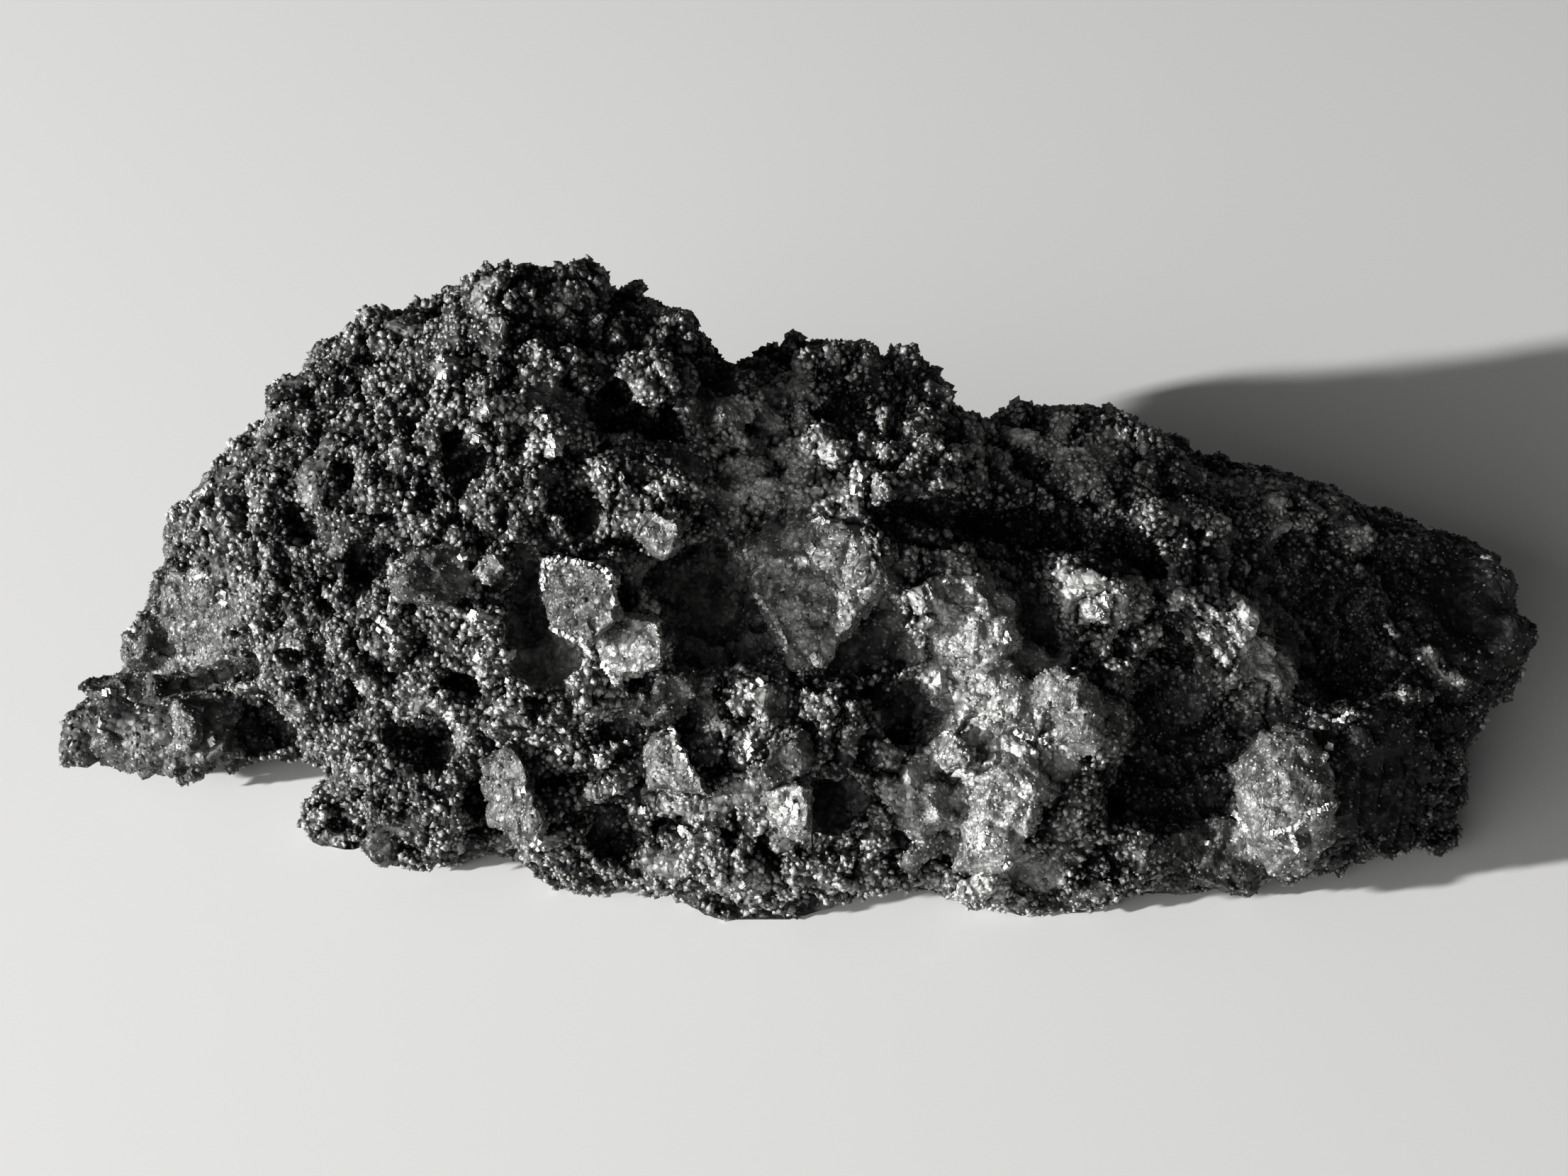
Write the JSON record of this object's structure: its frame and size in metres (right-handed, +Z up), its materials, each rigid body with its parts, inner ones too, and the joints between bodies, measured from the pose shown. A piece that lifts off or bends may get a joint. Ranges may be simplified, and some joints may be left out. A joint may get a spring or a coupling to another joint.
{
  "type": "native silver specimen",
  "caption": "Rough lump of dark, tarnished native silver: a granular mass with flat-faced crystals, straight-edged hollows and a flattened tongue at one end, lying on its flat underside.",
  "frame": {"origin": "on the resting plane, under the middle of the specimen's box", "axes": "+X along the specimen, from its tongue to its low end; +Z up; -Y towards its front"},
  "size_m": [0.075, 0.0332, 0.0266],
  "materials": {
    "tarnished_silver": "black to dark grey tarnish on silver, granular, with bright crystal faces"
  },
  "bodies": {
    "root": {"silver_mass": "tarnished_silver"}
  },
  "joints": []
}
